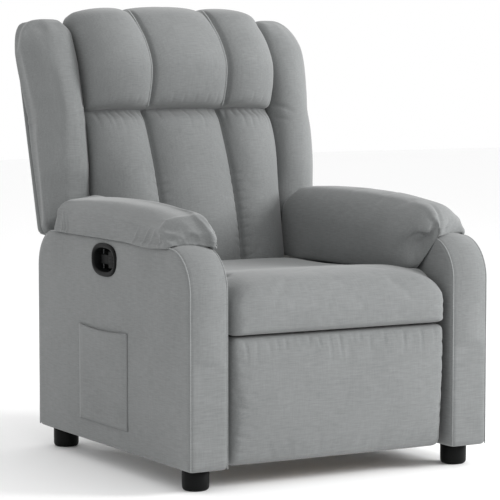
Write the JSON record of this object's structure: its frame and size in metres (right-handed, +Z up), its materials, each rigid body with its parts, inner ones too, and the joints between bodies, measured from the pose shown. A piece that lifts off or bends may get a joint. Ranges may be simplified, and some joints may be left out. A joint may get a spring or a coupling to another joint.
{
  "type": "recliner armchair",
  "caption": "Upholstered recliner armchair with padded arms, a side release lever, a folding footrest and a reclining channelled back.",
  "frame": {"origin": "middle of the bounding box in plan, on the floor under the feet", "axes": "+Z up, the chair faces -Y, +X to the sitter's left; the release lever is on the -X side"},
  "size_m": [0.784, 0.9524, 1.0555],
  "materials": {
    "fabric_grey": "light grey woven upholstery, matte",
    "plastic_black": "black moulded plastic, satin",
    "steel_black": "black powder coat",
    "steel_zinc": "zinc plated",
    "plywood": "raw plywood"
  },
  "bodies": {
    "base": {"arm_frame_right": "plywood", "arm_cover_right": "fabric_grey", "arm_pad_right": "fabric_grey", "foot_front_right": "plastic_black", "foot_rear_right": "plastic_black", "arm_frame_left": "plywood", "arm_cover_left": "fabric_grey", "arm_pad_left": "fabric_grey", "foot_front_left": "plastic_black", "foot_rear_left": "plastic_black", "side_pocket": "fabric_grey", "lever_bezel": "plastic_black", "lever_pivot_pin": "steel_zinc", "release_cable": "plastic_black", "base_plate_right": "steel_black", "base_plate_left": "steel_black", "base_rail_front": "steel_black", "base_rail_rear": "steel_black"},
    "rear_swing": {"swing_link_rear_right": "steel_black", "swing_link_rear_left": "steel_black"},
    "front_swing": {"swing_link_front_right": "steel_black", "swing_link_front_left": "steel_black"},
    "seat": {"seat_side_plate_right": "steel_black", "seat_side_plate_left": "steel_black", "recline_pivot_pin_right": "steel_zinc", "recline_pivot_pin_left": "steel_zinc", "seat_rail_front": "steel_black", "seat_rail_rear": "steel_black", "seat_springs": "steel_zinc", "seat_cushion": "fabric_grey"},
    "back": {"back_frame": "plywood", "back_cover": "fabric_grey", "back_cushion": "fabric_grey", "head_cushion": "fabric_grey", "wing_right": "fabric_grey", "wing_left": "fabric_grey", "back_bracket_right": "steel_black", "back_bracket_left": "steel_black"},
    "drive_links": {"drive_link_right": "steel_black", "drive_link_left": "steel_black"},
    "lift_links": {"lift_link_right": "steel_black", "lift_link_left": "steel_black"},
    "hold_links": {"hold_link_right": "steel_black", "hold_link_left": "steel_black", "torque_tube": "steel_black"},
    "reach_links": {"reach_link_right": "steel_black", "reach_link_left": "steel_black"},
    "footrest": {"footrest_pad": "fabric_grey", "footrest_board": "plywood", "footrest_bracket_right": "steel_black", "footrest_bracket_left": "steel_black"},
    "lever": {"pull_lever": "plastic_black"},
    "latch": {"latch_hook": "steel_black"}
  },
  "joints": [
    {"name": "back_recline", "type": "hinge", "parent": "seat", "child": "back", "pos_m": [0, 0.19182, 0.318], "axis": [-1, 0, 0], "range_deg": [0, 35]},
    {"name": "rear_swing_turn", "type": "hinge", "parent": "base", "child": "rear_swing", "pos_m": [0, 0.04182, 0.11], "axis": [1, 0, 0], "range_deg": [0, 28.01]},
    {"name": "seat_level", "type": "hinge", "parent": "rear_swing", "child": "seat", "pos_m": [0, 0.06843, 0.21673], "axis": [-1, 0, 0], "range_deg": [0, 28.01]},
    {"name": "front_swing_turn", "type": "hinge", "parent": "base", "child": "front_swing", "pos_m": [0, -0.27818, 0.11], "axis": [1, 0, 0], "range_deg": [0, 28.01]},
    {"name": "footrest_open", "type": "hinge", "parent": "seat", "child": "drive_links", "pos_m": [0, -0.31278, 0.275], "axis": [-1, 0, 0], "range_deg": [0, 117.4]},
    {"name": "lift_links_turn", "type": "hinge", "parent": "drive_links", "child": "lift_links", "pos_m": [0, -0.13314, 0.19587], "axis": [1, 0, 0], "range_deg": [0, 92.31]},
    {"name": "footrest_turn", "type": "hinge", "parent": "lift_links", "child": "footrest", "pos_m": [0, -0.39218, 0.272], "axis": [-1, 0, 0], "range_deg": [0, 64.91]},
    {"name": "hold_links_turn", "type": "hinge", "parent": "seat", "child": "hold_links", "pos_m": [0, -0.35018, 0.3], "axis": [-1, 0, 0], "range_deg": [0, 115.11]},
    {"name": "reach_links_turn", "type": "hinge", "parent": "hold_links", "child": "reach_links", "pos_m": [0, -0.12502, 0.18073], "axis": [1, 0, 0], "range_deg": [0, 74.21]},
    {"name": "lever_pull", "type": "hinge", "parent": "base", "child": "lever", "pos_m": [-0.372, -0.03818, 0.475], "axis": [0, 0, -1], "range_deg": [0, 40], "stiffness_Nm_per_rad": 0.25, "springref_deg": -11.46},
    {"name": "latch_turn", "type": "hinge", "parent": "base", "child": "latch", "pos_m": [0, -0.14818, 0.15], "axis": [1, 0, 0], "range_deg": [0, 16.01]}
  ],
  "couplings": [
    {"joint": "rear_swing_turn", "follows": "back_recline", "ratio": 0.8},
    {"joint": "seat_level", "follows": "back_recline", "ratio": 0.8},
    {"joint": "front_swing_turn", "follows": "back_recline", "ratio": 0.8},
    {"joint": "lift_links_turn", "follows": "footrest_open", "ratio": 0.7862},
    {"joint": "footrest_turn", "follows": "footrest_open", "ratio": 0.55281},
    {"joint": "hold_links_turn", "follows": "footrest_open", "ratio": 0.98041},
    {"joint": "reach_links_turn", "follows": "footrest_open", "ratio": 0.63203},
    {"joint": "latch_turn", "follows": "lever_pull", "ratio": 0.4}
  ]
}
